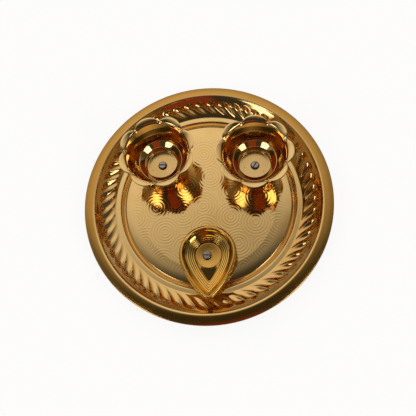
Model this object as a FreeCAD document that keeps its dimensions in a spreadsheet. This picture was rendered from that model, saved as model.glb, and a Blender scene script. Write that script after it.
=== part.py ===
import FreeCAD, Part
import math
import os
import Sketcher

# Brass aarti plate: a pressed round plate that carries two scalloped kumkum cups and a teardrop
# oil lamp, each held down by one slotted screw with a washer and a thin nut underneath.
#
# Millimetres, +Z up. The origin is the plate's centre on the surface that it rests on.
# +Y points midway between the two cups, so the lamp's spout points to -Y.

# Every driving dimension, as alias: (value, what it is).
SIZES = {
    # Plate
    "sheet": (0.8, "thickness of the plate's sheet"),
    "floor_height": (3.6, "top of the plate's floor"),
    "floor_radius": (50.0, "where the flat floor starts to droop"),
    "droop_radius": (57.0, "middle of the drooping zone"),
    "droop_height": (3.2, "top of the floor in the middle of the drooping zone"),
    "floor_edge_radius": (61.0, "outer edge of the floor"),
    "floor_edge_height": (2.6, "top of the floor at its edge"),
    "foot_inner": (62.2, "inner edge of the groove that forms the foot ring"),
    "foot_outer": (63.0, "outer edge of that groove"),
    "foot_offset": (0.5, "how far the foot ring's flanks shift through the sheet"),
    "ledge_radius": (64.4, "inner edge of the ledge"),
    "ledge_height": (4.2, "top of the ledge"),
    "flute_start": (68.4, "where the fluted wall leaves the ledge"),
    "flute_end": (79.2, "where the fluted wall meets the smooth lip"),
    "flute_spring": (76.4, "where each flute's arched top begins"),
    "flute_slope": (0.33, "slope of a flute's floor"),
    "flute_scoop": (74.6, "where a flute's floor starts to curve up to its top"),
    "scoop_power": (2.4, "exponent of that curve"),
    "flute_width": (0.94, "share of the pitch that a flute takes"),
    "flute_rise": (6.4, "height of the fluted wall"),
    "flute_power": (1.15, "exponent of the curve that the ridges between flutes follow"),
    "flute_count": (56, "number of flutes"),
    "flute_twist": (8.6, "degrees that a flute turns between its two ends"),
    "flute_lean": (0.35, "share of that turn that is spread evenly; the rest falls near the ledge"),
    "flute_sheet": (1.1, "vertical thickness of the sheet at the top of the fluted wall"),
    "shoulder": (0.2, "width of the level shoulder above the flutes"),
    "shoulder_offset": (0.48, "how far the shoulder's corner shifts through the sheet"),
    "lip_radius": (81.6, "top of the smooth wall"),
    "lip_height": (12.3, "height of the top of the smooth wall"),
    "crest_inner": (83.0, "inner edge of the rim's crest"),
    "crest_outer": (84.2, "outer edge of the rim's crest"),
    "crest_height": (13.2, "height of the rim's crest"),
    "crest_inner_offset": (0.24, "how far the crest's inner corner shifts through the sheet"),
    "crest_outer_offset": (0.16, "how far the crest's outer corner shifts through the sheet"),
    "bead_radius": (89.1, "middle of the rolled edge"),
    "bead_height": (11.2, "height of the middle of the rolled edge"),
    "bead": (0.9, "radius of the rolled edge"),
    # Where the cups and the lamp stand
    "cup_x": (34.3, "a cup's axis, left or right of the centre line"),
    "cup_y": (26.7, "a cup's axis, behind the plate's centre"),
    "left_cup_turn": (22.5, "degrees that the left cup is turned about its screw"),
    "lamp_x": (1.2, "the lamp's screw, right of the centre line"),
    "lamp_y": (-40.8, "the lamp's screw, in front of the plate's centre"),
    "lamp_turn": (3.3, "degrees that the lamp is turned about its screw"),
    # Cup
    "cup_foot_height": (3.75, "height of the ring that a cup stands on"),
    "cup_foot_inner": (9.2, "radius of the foot ring's opening"),
    "cup_foot_outer": (13.2, "radius of the foot ring at the plate"),
    "cup_foot_neck": (11.6, "radius of the foot ring under the cup"),
    "cup_foot_edge": (1.0, "height of the foot ring's upright outer edge"),
    "cup_foot_flare": (2.6, "height where the foot ring's flare ends"),
    "cup_wall": (1.0, "thickness of a cup's wall and floor"),
    "cup_floor_offset": (0.8, "how far the floor's corner shifts outwards through the wall"),
    "cup_ring_offset": (0.4, "how far the well's and the step's corners shift down through the wall"),
    "cup_floor_radius": (11.8, "radius of a cup's flat floor"),
    "cup_well_radius": (12.0, "radius of the top of the well at a cup's bottom"),
    "cup_well_height": (7.2, "depth of that well"),
    "cup_ring_radius": (15.5, "inner radius of the step inside a cup, where a cone from the well ends"),
    "cup_ring_height": (10.0, "height of that step above the cup's floor"),
    "cup_step": (0.4, "width of that step"),
    "cup_mouth_radius": (22.9, "inner radius of a cup's mouth"),
    "cup_depth": (27.6, "depth of a cup"),
    "cup_flange": (0.9, "thickness of the scalloped flange"),
    "petal_centre": (16.5, "middle of the circle that each petal's edge follows"),
    "petal_radius": (10.95, "radius of that circle"),
    "petal_rise": (1.2, "how much a petal rises from the mouth to its edge"),
    "petal_cut": (28.0, "radius that the cuts above and below the petals reach"),
    "petal_count": (8, "petals round a cup"),
    # Lamp
    "lamp_height": (11.0, "height of the lamp"),
    "lamp_bevel_width": (1.4, "width of the bevel outside the lamp's rim"),
    "lamp_bevel_drop": (1.8, "height of that bevel"),
    "lamp_radius": (20.3, "radius of the lamp's round end"),
    "lamp_side_radius": (57.0, "radius of the lamp's curved sides"),
    "lamp_tip_radius": (5.2, "radius of the spout's tip"),
    "lamp_tip_reach": (27.0, "middle of the tip's circle from the middle of the round end"),
    "lamp_offset": (1.0, "how far the lamp's hole is off its centre line"),
    "lamp_base_inset": (8.5, "how far the base lies inside the rim's outline"),
    "lamp_lip": (2.5, "inset of the inner edge of the lamp's rim"),
    "lamp_bend": (3.7, "inset of the bend in the wall below the rim"),
    "lamp_bend_height": (8.6, "height of that bend above the lamp's base"),
    "lamp_step_inset": (5.6, "inset of the highest terrace"),
    "lamp_step_height": (6.9, "height of the highest terrace's outer edge"),
    "lamp_step_count": (4, "number of terraces"),
    "lamp_tread": (0.75, "width of a terrace"),
    "lamp_tread_drop": (0.15, "how far a terrace falls inwards"),
    "lamp_riser": (0.53, "width of the steeper slope below a terrace"),
    "lamp_riser_drop": (0.75, "height of that slope"),
    "lamp_well_inset": (11.1, "inset of the bottom of the well in the middle"),
    "lamp_well_height": (0.8, "height of the bottom of the well at the spout's end"),
    "lamp_well_tip": (1.2, "radius of the tip of that bottom"),
    "lamp_seat_radius": (8.9, "radius of the round seat that the screw clamps"),
    "lamp_seat_height": (2.7, "height of the flat middle of the seat"),
    "lamp_seat_flat": (4.0, "radius of the flat middle of the seat"),
    "lamp_seat_dish": (0.5, "how much the seat rises from its middle to its edge"),
    "lamp_fall_start": (9.1, "where the floor beyond the seat starts to fall towards the spout"),
    "lamp_fall_end": (17.8, "where it ends"),
    "lamp_fall_height": (2.65, "height of the floor round the seat, just below the seat's middle"),
    "lamp_floor_half": (9.7, "half the width of the block that carries that floor, inside the walls"),
    "sharp_tip": (0.5, "radius of the tip of the lamp's inner outlines"),
    # Fasteners
    "shank_radius": (1.5, "radius of the M3 screws"),
    "cup_screw_length": (8.0, "length of a cup's screw under its head"),
    "lamp_screw_length": (6.0, "length of the lamp's screw under its head"),
    "left_screw_turn": (0, "degrees that the left cup's screw is turned"),
    "right_screw_turn": (62, "degrees that the right cup's screw is turned"),
    "lamp_screw_turn": (0, "degrees that the lamp's screw is turned"),
    "screw_chamfer": (0.3, "chamfer at a screw's end"),
    "head_radius": (2.8, "radius of a screw's head"),
    "head_height": (1.9, "height of a screw's head"),
    "head_round": (0.6, "rounding of a screw's head"),
    "slot_width": (0.8, "width of the driver slot"),
    "slot_depth": (0.9, "depth of the driver slot"),
    "slot_length": (6.2, "length of the cut for the slot, past both sides of the head"),
    "running_gap": (0.06, "radial clearance of the cups and the lamp on their screws"),
    "loose_gap": (0.1, "radial clearance of the plate's and washers' holes"),
    "thread_gap": (0.02, "radial clearance of the nuts, which stands in for the thread"),
    "washer_radius": (3.5, "radius of a washer"),
    "washer_thickness": (0.5, "thickness of a washer"),
    "nut_flats": (5.5, "width of a nut across its flats"),
    "nut_height": (1.8, "height of a thin nut"),
}

WALL_ROWS = 10
FLUTE_COLUMNS = 8
SEW_TOLERANCE = 1e-4
ORIGIN = FreeCAD.Vector(0, 0, 0)
UP = FreeCAD.Vector(0, 0, 1)

doc = FreeCAD.newDocument("AartiPlate")
sheet = doc.addObject("Spreadsheet::Sheet", "Sizes")
for row, (alias, (value, meaning)) in enumerate(SIZES.items(), start=1):
    sheet.set(f"A{row}", alias)
    sheet.set(f"B{row}", str(value))
    sheet.set(f"C{row}", meaning)
    sheet.setAlias(f"B{row}", alias)
doc.recompute()


def bound(text):
    """Turn sheet aliases in a formula into references that an expression understands."""
    words = []
    word = ""
    for letter in text + " ":
        if letter.isalnum() or letter == "_":
            word += letter
            continue
        words.append("Sizes." + word if word in SIZES else word)
        words.append(letter)
        word = ""
    return "".join(words).strip()


def number(text):
    """The value of a formula of sheet aliases."""
    found = sheet.evalExpression(bound(str(text)))
    return float(getattr(found, "Value", found))


# Bodies and sketches


def new_body(name):
    body = doc.addObject("PartDesign::Body", name)
    body.Label = name
    return body


def origin_plane(body, role):
    return next(item for item in body.Origin.OriginFeatures if item.Role == role)


def new_sketch(body, name, role="XY_Plane", height=None):
    """A sketch on one of the body's own origin planes, raised by a formula."""
    sketch = body.newObject("Sketcher::SketchObject", name)
    sketch.AttachmentSupport = (origin_plane(body, role), [""])
    sketch.MapMode = "FlatFace"
    if height is not None:
        sketch.setExpression("AttachmentOffset.Base.z", bound(height))
    return sketch


def bind(sketch, constraint, formula):
    """Add a dimension to a sketch and bind it to a formula."""
    index = sketch.addConstraint(constraint)
    sketch.setExpression(f"Constraints[{index}]", bound(formula))


def polygon(sketch, corners):
    """A closed outline whose corners are pairs of formulas."""
    points = [FreeCAD.Vector(number(x), number(y), 0) for x, y in corners]
    count = len(points)
    for index in range(count):
        sketch.addGeometry(Part.LineSegment(points[index], points[(index + 1) % count]))
    for index in range(count):
        sketch.addConstraint(Sketcher.Constraint("Coincident", index, 2, (index + 1) % count, 1))
    for index, (x, y) in enumerate(corners):
        for kind, formula, place in (("DistanceX", x, points[index].x), ("DistanceY", y, points[index].y)):
            bind(sketch, Sketcher.Constraint(kind, -1, 1, index, 1, place), formula)


def circle(sketch, radius, x="0", y="0"):
    """A circle whose radius and centre are formulas."""
    centre = FreeCAD.Vector(number(x), number(y), 0)
    index = sketch.addGeometry(Part.Circle(centre, UP, number(radius)))
    bind(sketch, Sketcher.Constraint("Radius", index, number(radius)), radius)
    bind(sketch, Sketcher.Constraint("DistanceX", -1, 1, index, 3, centre.x), x)
    bind(sketch, Sketcher.Constraint("DistanceY", -1, 1, index, 3, centre.y), y)


def turned(body, name, corners, kind="PartDesign::Revolution"):
    """Turn a profile of (radius, height) formulas about the body's Z axis."""
    sketch = new_sketch(body, name + "_profile", "XZ_Plane")
    polygon(sketch, corners)
    feature = body.newObject(kind, name)
    feature.Profile = sketch
    feature.ReferenceAxis = (sketch, ["V_Axis"])
    feature.Angle = 360
    doc.recompute()
    return feature


def pad(body, name, sketch, length):
    feature = body.newObject("PartDesign::Pad", name)
    feature.Profile = sketch
    feature.setExpression("Length", bound(length))
    doc.recompute()
    return feature


def pocket(body, name, sketch, length=None):
    """Cut down from a sketch by a length, or through everything on both sides of it."""
    before = body.Shape.Volume
    feature = body.newObject("PartDesign::Pocket", name)
    feature.Profile = sketch
    if length is None:
        feature.Type = "ThroughAll"
        feature.Midplane = True
    else:
        feature.setExpression("Length", bound(length))
    doc.recompute()
    if not feature.Shape.Volume < before:
        raise RuntimeError(name + " cut nothing")
    return feature


def place(thing, x="0", y="0", z="0", turn=None):
    """Bind a sub-part's place, and its turn about its own upright axis, to formulas."""
    for axis, formula in (("x", x), ("y", y), ("z", z)):
        thing.setExpression("Placement.Base." + axis, bound(formula))
    if turn is not None:
        thing.setExpression("Placement.Rotation.Angle", bound(turn))


# Plate

FASTENER_PLACES = {
    "left_cup": ("-cup_x", "cup_y"),
    "right_cup": ("cup_x", "cup_y"),
    "lamp": ("lamp_x", "lamp_y"),
}


def plate_centre():
    """The floor, the foot ring and the ledge, with one screw hole for each thing it carries."""
    body = new_body("plate_centre")
    turned(body, "dish", [
        ("0", "floor_height"),
        ("floor_radius", "floor_height"),
        ("droop_radius", "droop_height"),
        ("floor_edge_radius", "floor_edge_height"),
        ("foot_inner", "sheet"),
        ("foot_outer", "sheet"),
        ("ledge_radius", "ledge_height"),
        ("flute_start", "ledge_height"),
        ("flute_start", "ledge_height - sheet"),
        ("ledge_radius + foot_offset", "ledge_height - sheet"),
        ("foot_outer + foot_offset", "0"),
        ("foot_inner - foot_offset", "0"),
        ("floor_edge_radius - foot_offset", "floor_edge_height - sheet"),
        ("droop_radius", "droop_height - sheet"),
        ("floor_radius", "floor_height - sheet"),
        ("0", "floor_height - sheet"),
    ])
    sketch = new_sketch(body, "screw_holes_sketch")
    for x, y in FASTENER_PLACES.values():
        circle(sketch, "shank_radius + loose_gap", x, y)
    pocket(body, "screw_holes", sketch)
    return body


def plate_rim():
    """The smooth lip above the flutes, the sloping flange and the rolled outer edge."""
    body = new_body("plate_rim")
    top = "ledge_height + flute_rise"
    diagonal = "bead * cos(45 deg)"
    turned(body, "rim", [
        ("flute_end", top),
        ("flute_end + shoulder", top),
        ("lip_radius", "lip_height"),
        ("crest_inner", "crest_height"),
        ("crest_outer", "crest_height"),
        ("bead_radius", "bead_height + bead"),
        (f"bead_radius + {diagonal}", f"bead_height + {diagonal}"),
        ("bead_radius + bead", "bead_height"),
        (f"bead_radius + {diagonal}", f"bead_height - {diagonal}"),
        ("bead_radius", "bead_height - bead"),
        (f"bead_radius - {diagonal}", f"bead_height - {diagonal}"),
        (f"bead_radius - {diagonal}", "bead_height + bead - sheet"),
        ("crest_outer - crest_outer_offset", "crest_height - sheet"),
        ("crest_inner + crest_inner_offset", "crest_height - sheet"),
        ("flute_end + shoulder + shoulder_offset", top + " - flute_sheet"),
        ("flute_end", top + " - flute_sheet"),
    ])
    return body


def ridge_height(radius):
    """Height of the ridges between the flutes."""
    along = (radius - number("flute_start")) / number("flute_end - flute_start")
    return number("ledge_height") + number("flute_rise") * along ** number("flute_power")


def channel_height(radius):
    """Height of the middle of a flute: a gentle slope that curves up to meet the ridges' top."""
    straight = number("ledge_height") + number("flute_slope") * (radius - number("flute_start"))
    left_over = number("flute_rise - flute_slope * (flute_end - flute_start)")
    scoop = max(0.0, (radius - number("flute_scoop")) / number("flute_end - flute_scoop"))
    return min(ridge_height(radius), straight + left_over * scoop ** number("scoop_power"))


def flute_height(radius, across):
    """Height of the wall at a place across a flute, from -1 to 1 between its two ridges."""
    spring = number("flute_spring")
    up_arch = max(0.0, (radius - spring) / (number("flute_end") - spring))
    half_width = number("flute_width") * math.sqrt(max(0.0, 1 - up_arch * up_arch))
    ridge = ridge_height(radius)
    if abs(across) >= half_width:
        return ridge
    return ridge - (ridge - channel_height(radius)) * (1 - (across / half_width) ** 2)


def flute_surface(underside):
    """One flute's upper surface, or the surface under it."""
    start = number("flute_start")
    span = number("flute_end") - start
    half_pitch = math.pi / number("flute_count")
    lean = number("flute_lean")
    rows = []
    for row in range(WALL_ROWS + 1):
        along = row / WALL_ROWS
        radius = start + span * along
        back = 1 - along
        turn = -math.radians(number("flute_twist")) * back * (lean + (1 - lean) * back)
        sunk = number("sheet") + number("flute_sheet - sheet") * along if underside else 0.0
        points = []
        for column in range(FLUTE_COLUMNS + 1):
            across = 2 * column / FLUTE_COLUMNS - 1
            angle = turn + across * half_pitch
            height = flute_height(radius, across) - sunk
            points.append(FreeCAD.Vector(radius * math.cos(angle), radius * math.sin(angle), height))
        rows.append(points)
    surface = Part.BSplineSurface()
    surface.interpolate(rows)
    return surface.toShape()


def edges_at(shape, radius):
    """The edges whose two ends lie at a radius and at one height."""
    found = []
    for edge in shape.Edges:
        ends = [vertex.Point for vertex in edge.Vertexes]
        level = max(point.z for point in ends) - min(point.z for point in ends) < SEW_TOLERANCE
        at_radius = all(abs(math.hypot(point.x, point.y) - radius) < SEW_TOLERANCE for point in ends)
        if level and at_radius:
            found.append(edge)
    return found


def round_the_plate(faces):
    """Copies of a flute's faces, one set for each flute."""
    count = int(number("flute_count"))
    copies = []
    for index in range(count):
        for face in faces:
            copy = face.copy()
            copy.rotate(ORIGIN, UP, 360.0 * index / count)
            copies.append(copy)
    return copies


def level_ring(edges, circle_radius):
    """A flat ring between a chain of edges and a circle."""
    chain = Part.Wire(Part.__sortEdges__(edges))
    height = edges[0].Vertexes[0].Z
    hoop = Part.Wire(Part.makeCircle(circle_radius, FreeCAD.Vector(0, 0, height)))
    return Part.makeFace([chain, hoop], "Part::FaceMakerBullseye")


def plate_shape(centre, rim):
    """The whole plate: the flutes sewn between the dish and the rim as one closed sheet."""
    start = number("flute_start")
    end = number("flute_end")
    upper = round_the_plate([flute_surface(underside=False)])
    lower = round_the_plate([flute_surface(underside=True)])
    faces = upper + lower
    for ring, ledge, shoulder in (
        (Part.Compound(upper), "ledge_radius", "flute_end + shoulder"),
        (Part.Compound(lower), "ledge_radius + foot_offset", "flute_end + shoulder + shoulder_offset"),
    ):
        faces.append(level_ring(edges_at(ring, start), number(ledge)))
        faces.append(level_ring(edges_at(ring, end), number(shoulder)))
    for body, seam in ((centre, start), (rim, end)):
        faces += [face for face in body.Shape.Faces if not edges_at(face, seam)]
    shell = Part.makeShell(faces)
    shell.sewShape(SEW_TOLERANCE)
    solid = Part.Solid(shell)
    if solid.Volume < 0:
        solid.reverse()
    return solid


# Cups


def cup(name, x, y, turn):
    """A turned bowl with a well and a step inside it, and rising petals round its mouth."""
    body = new_body(name)
    base = "cup_foot_height"
    floor = base + " + cup_wall"
    well = floor + " + cup_well_height"
    ring = floor + " + cup_ring_height"
    mouth = floor + " + cup_depth"
    inner = mouth + " - petal_rise"
    slope = "petal_rise / (petal_centre + petal_radius - cup_mouth_radius)"
    outer = inner + " + (petal_cut - cup_mouth_radius) * " + slope
    turned(body, "bell", [
        ("0", base),
        ("cup_floor_radius + cup_floor_offset", base),
        ("cup_well_radius + cup_wall", well + " - cup_ring_offset"),
        ("cup_ring_radius + cup_step + cup_wall", ring + " - cup_ring_offset"),
        ("cup_mouth_radius + cup_wall", inner + " - cup_flange"),
        ("cup_mouth_radius + cup_wall", mouth + " + cup_wall"),
        ("0", mouth + " + cup_wall"),
    ])
    sketch = new_sketch(body, "petal_sketch", height=inner + " - cup_flange")
    circle(sketch, "petal_radius", "0", "petal_centre")
    petal = pad(body, "petal", sketch, "cup_flange + petal_rise + cup_wall")
    petals = body.newObject("PartDesign::PolarPattern", "petals")
    petals.Originals = [petal]
    petals.Axis = (sketch, ["N_Axis"])
    petals.Angle = 360
    petals.setExpression("Occurrences", bound("petal_count"))
    body.Tip = petals
    doc.recompute()
    solid_volume = body.Shape.Volume
    turned(body, "hollow", [
        ("0", floor),
        ("cup_floor_radius", floor),
        ("cup_well_radius", well),
        ("cup_ring_radius", ring),
        ("cup_ring_radius + cup_step", ring),
        ("cup_mouth_radius", inner),
        ("petal_cut", outer),
        ("petal_cut", mouth + " + 2 * cup_wall"),
        ("0", mouth + " + 2 * cup_wall"),
    ], "PartDesign::Groove")
    turned(body, "petals_underside", [
        ("cup_mouth_radius + cup_wall", inner + " - cup_flange"),
        ("petal_cut", outer + " - cup_flange"),
        ("petal_cut", inner + " - cup_flange - cup_wall"),
    ], "PartDesign::Groove")
    if not body.Shape.Volume < solid_volume:
        raise RuntimeError(name + " is not hollow")
    hole = new_sketch(body, "screw_hole_sketch", height=floor)
    circle(hole, "shank_radius + running_gap")
    pocket(body, "screw_hole", hole)
    place(body, x, y, "floor_height", turn)
    return body


def cup_foot(name, x, y):
    """The flared ring that a cup stands on."""
    body = new_body(name)
    turned(body, "ring", [
        ("cup_foot_inner", "0"),
        ("cup_foot_outer", "0"),
        ("cup_foot_outer", "cup_foot_edge"),
        ("cup_foot_neck", "cup_foot_flare"),
        ("cup_foot_neck", "cup_foot_height"),
        ("cup_foot_inner", "cup_foot_height"),
    ])
    place(body, x, y, "floor_height")
    return body


# Lamp

# The lamp's sides are arcs of two large circles that hold the round end and the tip inside them
# and touch both. This is how far their centres lie towards the tip.
SIDE_ALONG = (
    "((lamp_side_radius - lamp_radius) ^ 2 - (lamp_side_radius - lamp_tip_radius) ^ 2"
    " + lamp_tip_reach ^ 2) / (2 * lamp_tip_reach)"
)


def teardrop(sketch, inset, tip):
    """A teardrop inside the lamp's outline by an inset. The spout points to -Y."""
    radius = number(f"lamp_radius - ({inset})")
    side = number(f"lamp_side_radius - ({inset})")
    tip_size = number(tip)
    along = number(SIDE_ALONG)
    out = math.sqrt((side - radius) ** 2 - along ** 2)
    reach = along + math.sqrt((side - tip_size) ** 2 - out ** 2)
    offset = number("lamp_offset")
    round_centre = FreeCAD.Vector(offset, 0, 0)
    tip_centre = FreeCAD.Vector(offset, -reach, 0)
    right_centre = FreeCAD.Vector(offset - out, -along, 0)
    left_centre = FreeCAD.Vector(offset + out, -along, 0)

    def heading(start, end):
        return math.atan2(end.y - start.y, end.x - start.x)

    right_round = heading(right_centre, round_centre)
    left_round = heading(left_centre, round_centre)
    right_tip = heading(right_centre, tip_centre)
    left_tip = heading(left_centre, tip_centre)
    for centre, size, start, end in (
        (round_centre, radius, right_round, left_round),
        (left_centre, side, left_round, left_tip),
        (tip_centre, tip_size, left_tip, right_tip),
        (right_centre, side, right_tip, right_round),
    ):
        sketch.addGeometry(Part.ArcOfCircle(Part.Circle(centre, UP, size), start, end))
    for first, second in ((0, 1), (1, 2), (2, 3), (3, 0)):
        sketch.addConstraint(Sketcher.Constraint("Tangent", first, 2, second, 1))
    bind(sketch, Sketcher.Constraint("DistanceX", -1, 1, 0, 3, offset), "lamp_offset")
    sketch.addConstraint(Sketcher.Constraint("PointOnObject", 0, 3, -1))
    bind(sketch, Sketcher.Constraint("Radius", 0, radius), f"lamp_radius - ({inset})")
    bind(sketch, Sketcher.Constraint("Radius", 2, tip_size), tip)
    for index in (1, 3):
        bind(sketch, Sketcher.Constraint("Radius", index, side), f"lamp_side_radius - ({inset})")
        bind(sketch, Sketcher.Constraint("DistanceY", -1, 1, index, 3, -along), f"-({SIDE_ALONG})")


def loft(body, kind, name, outlines):
    """A solid through teardrops, each given as (name, inset, tip radius, height)."""
    sketches = []
    for outline, inset, tip, height in outlines:
        sketch = new_sketch(body, outline, height=height)
        teardrop(sketch, inset, tip)
        sketches.append(sketch)
    doc.recompute()
    feature = body.newObject(kind, name)
    feature.Profile = sketches[0]
    feature.Sections = sketches[1:]
    feature.Ruled = True
    doc.recompute()
    return feature


def lamp_hollow():
    """The teardrops down the inside of the lamp: a bent wall, terraces and a well."""
    outlines = [
        ("lip", "lamp_lip", "lamp_tip_radius - lamp_lip", "lamp_height"),
        ("bend", "lamp_bend", "lamp_tip_radius - lamp_bend", "lamp_bend_height"),
        ("wall_foot", "lamp_step_inset", "sharp_tip", "lamp_step_height"),
    ]
    inset = "lamp_step_inset"
    height = "lamp_step_height"
    for step in range(1, int(number("lamp_step_count")) + 1):
        inset += " + lamp_tread"
        height += " - lamp_tread_drop"
        outlines.append((f"tread_{step}", inset, "sharp_tip", height))
        inset += " + lamp_riser"
        height += " - lamp_riser_drop"
        outlines.append((f"riser_{step}", inset, "sharp_tip", height))
    outlines.append(("well", "lamp_well_inset", "lamp_well_tip", "lamp_well_height"))
    return outlines


def lamp_floor(body):
    """The floor that falls towards the spout, and the dished seat for the screw."""
    sketch = new_sketch(body, "falling_floor_sketch", "YZ_Plane")
    polygon(sketch, [
        ("-lamp_fall_end", "lamp_well_height / 2"),
        ("lamp_floor_half", "lamp_well_height / 2"),
        ("lamp_floor_half", "lamp_fall_height"),
        ("-lamp_fall_start", "lamp_fall_height"),
        ("-lamp_fall_end", "lamp_well_height"),
    ])
    sketch.setExpression("AttachmentOffset.Base.z", bound("lamp_offset"))
    fall = pad(body, "falling_floor", sketch, "2 * lamp_floor_half")
    fall.Midplane = True
    seat = turned(body, "seat", [
        ("0", "lamp_well_height / 2"),
        ("lamp_seat_radius", "lamp_well_height / 2"),
        ("lamp_seat_radius", "lamp_seat_height + lamp_seat_dish"),
        ("lamp_seat_flat", "lamp_seat_height"),
        ("0", "lamp_seat_height"),
    ])
    seat.Profile[0].setExpression("AttachmentOffset.Base.x", bound("lamp_offset"))
    doc.recompute()


def lamp():
    """A cast teardrop lamp: a bevelled rim, a bent wall, terraces, a well and a seat for its screw."""
    body = new_body("lamp")
    loft(body, "PartDesign::AdditiveLoft", "outside", [
        ("base", "lamp_base_inset", "sharp_tip", "0"),
        ("rim_outer", "0", "lamp_tip_radius", "lamp_height - lamp_bevel_drop"),
        ("rim_crest", "lamp_bevel_width", "lamp_tip_radius - lamp_bevel_width", "lamp_height"),
    ])
    full = body.Shape.Volume
    loft(body, "PartDesign::SubtractiveLoft", "hollow", lamp_hollow())
    if not body.Shape.Volume < full:
        raise RuntimeError("the lamp is not hollow")
    lamp_floor(body)
    hole = new_sketch(body, "screw_hole_sketch")
    circle(hole, "shank_radius + running_gap")
    pocket(body, "screw_hole", hole)
    place(body, "lamp_x", "lamp_y", "floor_height", "lamp_turn")
    return body


# Fasteners


def screw(name, length, x, y, z, turn):
    """A slotted screw with a rounded cylindrical head. Its origin is under the head."""
    body = new_body(name)
    corner = "head_round * (1 - cos(45 deg))"
    turned(body, "blank", [
        ("0", "-" + length),
        ("shank_radius - screw_chamfer", "-" + length),
        ("shank_radius", "-" + length + " + screw_chamfer"),
        ("shank_radius", "0"),
        ("head_radius", "0"),
        ("head_radius", "head_height - head_round"),
        (f"head_radius - {corner}", f"head_height - {corner}"),
        ("head_radius - head_round", "head_height"),
        ("0", "head_height"),
    ])
    sketch = new_sketch(body, "slot_sketch", height="head_height")
    polygon(sketch, [
        ("-slot_length / 2", "-slot_width / 2"),
        ("slot_length / 2", "-slot_width / 2"),
        ("slot_length / 2", "slot_width / 2"),
        ("-slot_length / 2", "slot_width / 2"),
    ])
    pocket(body, "slot", sketch, "slot_depth")
    place(body, x, y, z, turn)
    return body


def washer(name, x, y):
    body = new_body(name)
    turned(body, "disc", [
        ("shank_radius + loose_gap", "-washer_thickness"),
        ("washer_radius", "-washer_thickness"),
        ("washer_radius", "0"),
        ("shank_radius + loose_gap", "0"),
    ])
    place(body, x, y, "floor_height - sheet")
    return body


def nut(name, x, y):
    """A thin hexagonal nut with a plain bore."""
    body = new_body(name)
    sketch = new_sketch(body, "hexagon")
    corner = "nut_flats / (2 * cos(30 deg))"
    polygon(sketch, [
        (f"{corner} * cos({60 * side} deg)", f"{corner} * sin({60 * side} deg)")
        for side in range(6)
    ])
    circle(sketch, "shank_radius + thread_gap")
    pad(body, "hex_plate", sketch, "nut_height")
    place(body, x, y, "floor_height - sheet - washer_thickness - nut_height")
    return body


def assemble():
    """Make every sub-part and return those that are written."""
    parts = []
    centre = plate_centre()
    rim = plate_rim()
    plate = doc.addObject("Part::Feature", "plate")
    plate.Label = "plate"
    plate.Shape = plate_shape(centre, rim)
    parts.append(plate)

    cup_top = "floor_height + cup_foot_height + cup_wall"
    lamp_top = "floor_height + lamp_seat_height"
    for name, turn in (("left_cup", "left_cup_turn"), ("right_cup", "0")):
        x, y = FASTENER_PLACES[name]
        parts.append(cup(name, x, y, turn))
        parts.append(cup_foot(name + "_foot", x, y))
    parts.append(lamp())
    for name, length, top, turn in (
        ("left_cup", "cup_screw_length", cup_top, "left_screw_turn"),
        ("right_cup", "cup_screw_length", cup_top, "right_screw_turn"),
        ("lamp", "lamp_screw_length", lamp_top, "lamp_screw_turn"),
    ):
        x, y = FASTENER_PLACES[name]
        parts.append(screw(name + "_screw", length, x, y, top, turn))
        parts.append(washer(name + "_washer", x, y))
        parts.append(nut(name + "_nut", x, y))
    return parts


def check(parts):
    """Stop if any object failed or any sub-part isn't one valid solid."""
    for thing in doc.Objects:
        if "Invalid" in thing.State or "Error" in thing.State:
            raise RuntimeError(f"{thing.Label} failed: {thing.State}")
    for part in parts:
        shape = part.Shape
        if shape.isNull() or not shape.isValid() or len(shape.Solids) != 1:
            raise RuntimeError(part.Label + " isn't one valid solid")


def write(parts):
    os.makedirs("parts", exist_ok=True)
    for part in parts:
        part.Shape.exportStep(f"parts/{part.Label}.step")
        print(part.Label, round(part.Shape.Volume, 1), "mm3")


sub_parts = assemble()
doc.recompute()
check(sub_parts)
write(sub_parts)
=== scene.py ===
import math

import bpy
import numpy as np
from mathutils import Matrix, Vector

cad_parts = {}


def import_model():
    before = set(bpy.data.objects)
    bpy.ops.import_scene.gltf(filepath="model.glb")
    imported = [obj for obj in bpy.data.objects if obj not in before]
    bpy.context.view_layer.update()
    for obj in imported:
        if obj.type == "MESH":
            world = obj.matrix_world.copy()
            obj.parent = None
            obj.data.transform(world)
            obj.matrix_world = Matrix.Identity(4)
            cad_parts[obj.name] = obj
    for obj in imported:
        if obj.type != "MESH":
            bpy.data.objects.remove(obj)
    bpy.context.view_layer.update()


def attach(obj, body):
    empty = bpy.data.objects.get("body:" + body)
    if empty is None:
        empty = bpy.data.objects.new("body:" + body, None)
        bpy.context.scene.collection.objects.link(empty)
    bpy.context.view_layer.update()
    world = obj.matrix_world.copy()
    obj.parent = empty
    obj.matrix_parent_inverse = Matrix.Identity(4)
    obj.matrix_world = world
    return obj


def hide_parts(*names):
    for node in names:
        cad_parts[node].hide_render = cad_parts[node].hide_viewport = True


# A round brass aarti plate with two scalloped cups and a teardrop oil lamp.
# Lengths are millimetres here and become metres when a mesh is made. The frame is the CAD model's.

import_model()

MM = 0.001

# Where things stand on the plate: the cups as (x, y, turn), the lamp as (x, y)
CUPS = {"left_cup": (-34.3, 26.7, 22.5), "right_cup": (34.3, 26.7, 0.0)}
LAMP_AT = (1.2, -40.8)
LAMP_TURN = 3.3

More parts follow.
